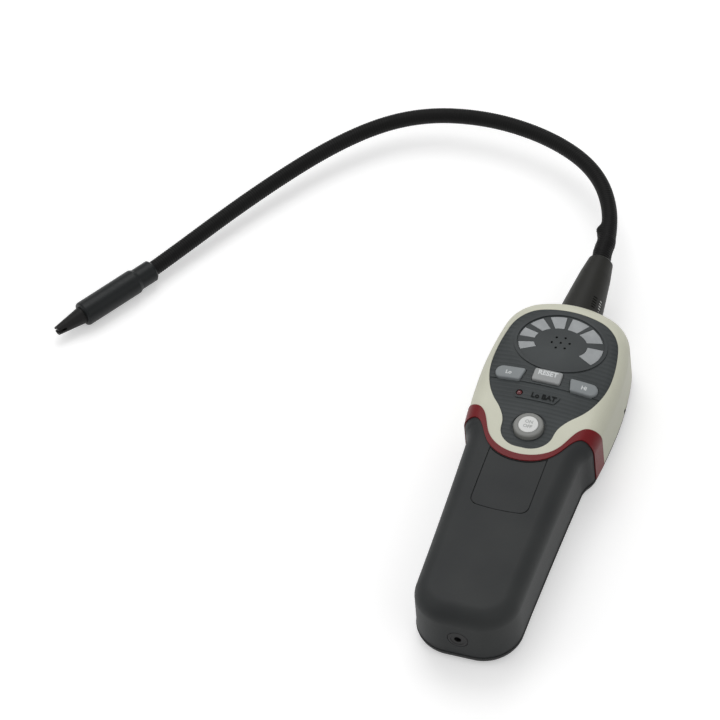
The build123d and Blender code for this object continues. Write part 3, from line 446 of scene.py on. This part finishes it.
# %% The ribbed sleeve
def along(distance):
    """Points, directions, sideways and upward unit vectors of the neck's line at these distances."""
    points = np.stack([np.interp(distance, run, line_points[:, axis]) for axis in range(3)], axis=-1)
    heading = np.gradient(points, axis=0)
    heading /= np.linalg.norm(heading, axis=1, keepdims=True)
    sideways = np.cross(heading, [0.0, 0.0, 1.0])
    sideways /= np.linalg.norm(sideways, axis=1, keepdims=True)
    upward = np.cross(sideways, heading)
    return points, heading, sideways, upward


sleeve_radius = 3.62 * MM
sleeve_rib_pitch = 1.2 * MM
sleeve_rib_height = 0.1 * MM
mouth_at = 28.7 * MM


def sleeve():
    """Radius = plain radius + a rib (a cosine of the distance, one per pitch) + the bunching, which dies
    away with distance from the boot, + three creases and one blister, each a bell curve."""
    distance = np.arange(0.0, run[-1], sleeve_rib_pitch / 5)
    turn = np.linspace(0.0, 2 * math.pi, 36, endpoint=False)
    points, _, sideways, upward = along(distance)
    far, angle = np.meshgrid(distance, turn, indexing="ij")
    past = (far - mouth_at) / MM
    rib = sleeve_rib_height * np.cos(2 * math.pi * far / sleeve_rib_pitch)
    bunched = 0.75 * MM / (1 + np.exp((past - 17.0) / 3.0))
    crease = 0.0
    for middle, width, tall, side in ((3.5, 1.6, 0.35, 2.6), (9.0, 1.8, 0.4, 0.4), (13.5, 1.3, 0.3, 3.6)):
        ring = np.exp(-(((past - middle - 1.2 * np.cos(angle - side)) / width) ** 2))
        crease = crease + tall * MM * ring * (0.55 + 0.45 * np.cos(2 * (angle - side)))
    apart = np.angle(np.exp(1j * (angle - math.radians(165))))
    blister = 1.9 * MM * np.exp(-(((past - 18.0) / 3.1) ** 2) - (apart / 0.5) ** 2)
    radius = sleeve_radius + rib + bunched + crease + blister
    ring_x, ring_y = np.cos(angle) * radius, np.sin(angle) * radius
    skin = points[:, None] + ring_x[..., None] * sideways[:, None] + ring_y[..., None] * upward[:, None]
    return skin


sleeve_skin = sleeve()
finishes["sleeve_black"] = plastic(
    "sleeve_black", linear(21, 21, 21), linear(15, 15, 15), 0.5, 0.5, 0.02, Specular_IOR_Level=0.15
)
sleeve_piece = piece_from_grids("ribbed_sleeve", [sleeve_skin], finishes["sleeve_black"])
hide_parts("gooseneck_sleeve")

# %% [markdown]
# ## The crowned front
#
# The whole front is one gentle crown: part of a cylinder about the Y axis, 153 mm in radius. The keys
# and the printed words lie on it, so its height is a formula that they share.

# %% The crowned front
crown_radius = 153.0 * MM
front_top = 36.0 * MM


def crown(x):
    """Height of the front over the table at this X: it falls as the square root of radius squared
    less X squared."""
    return front_top - crown_radius + np.sqrt(crown_radius**2 - x**2)


# %% [markdown]
# ## Soft-edged keys
#
# Rubber keys have rounded rims, and that is where the light shows first: a bright line along the far
# edge of each key. The solids' edges are sharp, so each key is built again as a profile carried round
# its outline: out along the flange, up the side, over a quarter circle, and in over the crowned top.

# %% Outlines of the keys
def rounded(corners, radii, count=96):
    """A polygon with each corner replaced by an arc that touches both sides, as evenly spaced points."""
    corners = np.array(corners) * MM
    path = []
    for number, radius in enumerate(np.array(radii) * MM):
        here = corners[number]
        back, on = corners[number - 1] - here, corners[(number + 1) % len(corners)] - here
        back, on = back / np.linalg.norm(back), on / np.linalg.norm(on)
        half = math.acos(np.clip(np.dot(back, on), -1, 1)) / 2
        middle = here + (back + on) / np.linalg.norm(back + on) * radius / math.sin(half)
        first = here + back * radius / math.tan(half) - middle
        last = here + on * radius / math.tan(half) - middle
        share = np.linspace(0, 1, 13)[:, None]
        sweep = math.pi - 2 * half
        arc = (first * np.sin((1 - share) * sweep) + last * np.sin(share * sweep)) / math.sin(sweep)
        path.append(middle + arc)
    path = np.concatenate(path)
    path = np.concatenate([path, path[:1]])
    walked = np.concatenate([[0.0], np.cumsum(np.linalg.norm(np.diff(path, axis=0), axis=1))])
    even = np.linspace(0, walked[-1], count, endpoint=False)
    return np.stack([np.interp(even, walked, path[:, axis]) for axis in (0, 1)], axis=-1)


side_key_x, side_key_y, reset_key_y, power_key_y = 18.4, 48.4, 50.0, 19.9
power_cap = 4.75
side_outline = rounded([(-6.8, 3.5), (-6.8, -3.5), (6.0, -3.5), (7.6, 3.5)], [3.4, 3.4, 1.0, 1.0])
turns = np.linspace(0, 2 * math.pi, 96, endpoint=False)
round_outline = np.stack([np.cos(turns), np.sin(turns)], axis=-1)
outlines = {
    "key_lo": side_outline + [-side_key_x * MM, side_key_y * MM],
    "key_hi": side_outline[::-1] * [-1, 1] + [side_key_x * MM, side_key_y * MM],
    "key_reset": rounded([(-6.95, 3.5), (-6.95, -3.5), (6.95, -3.5), (6.95, 3.5)], [1.0] * 4)
    + [0, reset_key_y * MM],
    "power_key": round_outline * 7.2 * MM + [0, power_key_y * MM],
    "power_key_cap": round_outline * power_cap * MM + [0, power_key_y * MM],
}
print("key outlines:", {name: len(line) for name, line in outlines.items()})

# %% Keys with rounded rims
flange_low, flange_high, flange_out = 29.7 * MM, 30.4 * MM, 0.7 * MM


def outward(outline):
    """Unit vectors across the outline, pointing out: the direction along it, turned by a right angle."""
    ahead = np.roll(outline, -1, axis=0) - np.roll(outline, 1, axis=0)
    side = np.stack([ahead[:, 1], -ahead[:, 0]], axis=-1)
    side /= np.linalg.norm(side, axis=1, keepdims=True)
    return side * np.sign(np.sum(side * (outline - outline.mean(axis=0)), axis=1).mean())


def key_skin(outline, proud, rim, flange=True, pocket=None, dome=0.0):
    """Rows from below to the top. Flange and side stand at fixed heights, the rim is a quarter circle, and
    the top shrinks to its middle on the crown. A pocket drops the middle of the top by 0.6 mm."""
    out, middle = outward(outline), outline.mean(axis=0)

    def ring(inset, height, over_crown, share=1.0):
        flat = middle + (outline - out * inset - middle) * share
        level = crown(flat[:, 0]) * over_crown + height
        return np.column_stack([flat, level])

    rows = []
    if flange:
        rows += [ring(-flange_out, flange_low, 0.0, 0.3), ring(-flange_out, flange_low, 0.0)]
        rows += [ring(-flange_out, flange_high, 0.0), ring(0.0, flange_high + 0.01 * MM, 0.0)]
    else:
        rows += [ring(0.0, proud - 0.8 * MM, 1.0, 0.3), ring(0.0, proud - 0.8 * MM, 1.0)]
    for angle in np.linspace(0, math.pi / 2, 8):
        rows.append(ring(rim * (1 - math.cos(angle)), proud - rim * (1 - math.sin(angle)), 1.0))
    if pocket:
        radius = 7.2 * MM - rim
        rows += [ring(rim, proud, 1.0, share) for share in np.linspace(0.97, pocket / radius, 5)]
        rows += [ring(rim, proud - 0.6 * MM, 1.0, pocket / radius * share) for share in (1.0, 0.5, 0.1)]
    else:
        for share in np.linspace(0.95, 0.05, 12):
            rows.append(ring(rim, proud + dome * (1 - share**2), 1.0, share))
    return np.stack(rows)


def make_key(name, proud, rim, finish, body, **more):
    """Builds a key's piece, puts it in place of its solid, and keeps the stem that presses its switch."""
    outline = outlines[name]
    if np.cross(outline[1] - outline[0], outline[2] - outline[1]).sum() < 0:
        outline = outline[::-1]
    grids = [key_skin(outline, proud, rim, **more)]
    if more.get("flange", True):
        stem = outline.mean(axis=0) + round_outline * 2.4 * MM
        grids.append(np.stack([np.column_stack([stem, np.full(96, z)]) for z in (29.5 * MM, 29.75 * MM)]))
    piece = piece_from_grids("soft_" + name, grids, finishes[finish], body)
    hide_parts(name)


make_key("key_lo", 1.2 * MM, 0.8 * MM, "key_grey", "key_lo_body", dome=0.1 * MM)
make_key("key_hi", 1.2 * MM, 0.8 * MM, "key_grey", "key_hi_body", dome=0.1 * MM)
make_key("key_reset", 1.2 * MM, 0.7 * MM, "reset_grey", "key_reset_body", dome=0.1 * MM)
make_key("power_key", 1.7 * MM, 1.0 * MM, "ring_grey", "power_key_body", pocket=(power_cap + 0.05) * MM)
make_key("power_key_cap", 1.95 * MM, 0.3 * MM, "cap_white", "power_key_body", flange=False)

# %% [markdown]
# ## Words on the keys
#
# The keys carry plain words in thin ink. Blender's text object makes the letters, but its mesh is flat,
# and the key tops are part of the crowned front. So each letter's point is dropped on the crown.

# %% Words on the keys
def words(name, text, size, middle, proud, finish, body, bold):
    """Turns text into a thin sheet that lies on a crowned top which stands proud of the front."""
    data = bpy.data.curves.new(name, "FONT")
    data.body = text
    data.size = size
    data.offset = bold
    data.align_x = "CENTER"
    data.align_y = "CENTER"
    data.extrude = 0.05 * MM
    data.resolution_u = 3
    flat = bpy.data.objects.new(name + "_flat", data)
    bpy.context.scene.collection.objects.link(flat)
    bpy.context.view_layer.update()
    mesh = bpy.data.meshes.new_from_object(flat.evaluated_get(bpy.context.evaluated_depsgraph_get()))
    bpy.data.objects.remove(flat)
    points = np.empty(len(mesh.vertices) * 3)
    mesh.vertices.foreach_get("co", points)
    points = points.reshape(-1, 3)
    points[:, 0] += middle[0]
    points[:, 1] += middle[1]
    points[:, 2] += crown(points[:, 0]) + proud
    mesh.vertices.foreach_set("co", points.ravel())
    mesh.materials.clear()
    mesh.materials.append(finish)
    mesh.name = name
    piece = bpy.data.objects.new(name, mesh)
    bpy.context.scene.collection.objects.link(piece)
    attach(piece, body)
    print(name, "is", round(float(np.ptp(points[:, 0])) * 1000, 1), "mm wide")
    return piece


pale_ink = plastic("pale_ink", linear(214, 217, 217), linear(200, 203, 204), 0.5, 0.3, 0.004)
dark_ink = plastic(
    "dark_ink", linear(36, 38, 38), linear(30, 32, 32), 0.6, 0.3, 0.004, Specular_IOR_Level=0.05
)
grey_ink = plastic("grey_ink", linear(178, 180, 178), linear(165, 167, 166), 0.5, 0.3, 0.004)

on_keys = 1.26
on_cap = 1.95
on_bar = 0.25
for name, text, size, x, y, proud, ink, slot_name, body, bold in (
    ("word_low", "Lo", 2.9, -18.6, 48.1, on_keys, pale_ink, "cap_white", "key_lo_body", 0.1),
    ("word_high", "Hi", 2.9, 18.6, 48.1, on_keys, pale_ink, "cap_white", "key_hi_body", 0.1),
    ("word_reset", "RESET", 3.6, 0.0, 51.0, on_keys, pale_ink, "cap_white", "key_reset_body", 0.14),
    ("word_on", "ON", 2.5, 0.0, 21.3, on_cap, grey_ink, "ring_grey", "power_key_body", 0.06),
    ("word_off", "OFF", 2.5, 0.0, 18.6, on_cap, grey_ink, "ring_grey", "power_key_body", 0.06),
    ("word_battery", "Lo BAT", 3.9, 1.8, 38.1, on_bar, dark_ink, "part_black", "detector", 0.08),
):
    words(name, text, size * MM, (x * MM, y * MM), proud * MM, ink, body, bold * MM)

# %% [markdown]
# ## Painted glints on the boot
#
# Near the boot's base a short column of small pale dashes shows: painted glints of light on the
# strain relief's ribs. Each is a little pillow, an ellipse swept up into a dome, laid on the boot where
# its slots are. The boot's radius at each place is read from the solid itself, so the marks can't float.

# %% Painted glints on the boot
def boot_radius(y):
    """The boot's radius about its axis at this Y, from the points of its solid."""
    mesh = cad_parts["gooseneck_boot"].data
    points = np.empty(len(mesh.vertices) * 3)
    mesh.vertices.foreach_get("co", points)
    points = points.reshape(-1, 3)
    reach = np.hypot(points[:, 0], points[:, 2] - 20.5 * MM)
    near = np.abs(points[:, 1] - y) < 2.0 * MM
    return reach[near].max()


def painted_boot_glints():
    """Each dash is a painted glint, a pale dome: two half axes, and a height that falls as the square root of
    1 - r squared.
    """
    for number in range(5):
        y = (100.4 + 1.5 * number) * MM
        radius = boot_radius(y)
        share, turn = np.linspace(0.05, 1.0, 6), np.linspace(0, 2 * math.pi, 20, endpoint=False)
        r, a = np.meshgrid(share, turn, indexing="ij")
        sweep = math.radians(60) + r * np.cos(a) * 1.0 * MM / radius
        height = radius - 0.35 * MM + 0.25 * MM * np.sqrt(1 - (0.98 * r) ** 2)
        skin = np.stack(
            [np.sin(sweep) * height, y + r * np.sin(a) * 0.3 * MM, 20.5 * MM + np.cos(sweep) * height], axis=-1
        )
        # Pale pieces that paint glints of light on the boot's ribs.
        piece_from_grids(f"boot_glint_{number + 1}", [skin], finishes["cap_white"])


painted_boot_glints()

# %% [markdown]
# ## Floor and light
#
# The picture is a studio shot on white: no hard shadow, and a soft light that comes from above and a
# little behind, so that the key edges catch it. A broad world light does most, and three large lamps
# shape it. The floor is near white, and adds a little light of its own for the camera only.

# %% Floor and light
def floor():
    """A square of 8 m, just under the table's level. The camera and shiny things see it nearly white,
    with a very faint cloud, and it throws less light back at the object than it seems to."""
    mesh = bpy.data.meshes.new("floor")
    half = 4.0
    level = -0.1 * MM
    corners = [(-half, -half, level), (half, -half, level), (half, half, level), (-half, half, level)]
    mesh.from_pydata(corners, [], [(0, 1, 2, 3)])
    material, tree, shader, coordinates = start("floor_white", 0.85, Emission_Color=(1.0, 1.0, 1.0, 1.0))
    rays = add(tree, "LightPath")
    seen = maths(tree, "MAXIMUM", rays.outputs["Is Camera Ray"], rays.outputs["Is Glossy Ray"])
    cloud = add(tree, "TexNoise", None, Vector=coordinates, Scale=3.0).outputs["Fac"]
    level = maths(tree, "ADD", maths(tree, "MULTIPLY", seen, 0.45), maths(tree, "MULTIPLY", cloud, 0.02))
    pale = spread(tree, level, 0.0, 1.0, 0.42, 1.42)
    colour = add(tree, "CombineColor", None, Red=pale, Green=pale, Blue=pale).outputs[0]
    tree.links.new(colour, shader.inputs["Base Color"])
    tree.links.new(maths(tree, "MULTIPLY", seen, 0.36), shader.inputs["Emission Strength"])
    mesh.materials.append(material)
    plane = bpy.data.objects.new("floor", mesh)
    bpy.context.scene.collection.objects.link(plane)


def lamp(name, place, target, side, watts):
    """A square soft box that faces its target."""
    data = bpy.data.lights.new(name, "AREA")
    data.size = side
    data.energy = watts
    obj = bpy.data.objects.new(name, data)
    bpy.context.scene.collection.objects.link(obj)
    toward = Vector(target) - Vector(place)
    obj.matrix_world = Matrix.Translation(place) @ toward.to_track_quat("-Z", "Y").to_matrix().to_4x4()


floor()
lamp("key_lamp", (-0.35, 0.75, 1.15), (-0.05, 0.05, 0.0), 0.9, 6.0)
lamp("fill_lamp", (0.9, -0.5, 0.9), (0.0, 0.0, 0.0), 0.8, 1.6)
lamp("left_lamp", (-1.0, -0.3, 0.8), (-0.05, 0.05, 0.0), 0.8, 1.6)
world = bpy.data.worlds.new("studio")
bpy.context.scene.world = world
world.use_nodes = True
sky = world.node_tree
background = sky.nodes["Background"]
rays = add(sky, "LightPath")
seen = maths(sky, "MAXIMUM", rays.outputs["Is Camera Ray"], rays.outputs["Is Transmission Ray"])
background.inputs["Color"].default_value = (1.0, 1.0, 1.0, 1.0)
sky.links.new(spread(sky, seen, 0.0, 1.0, 0.5, 0.97), background.inputs["Strength"])
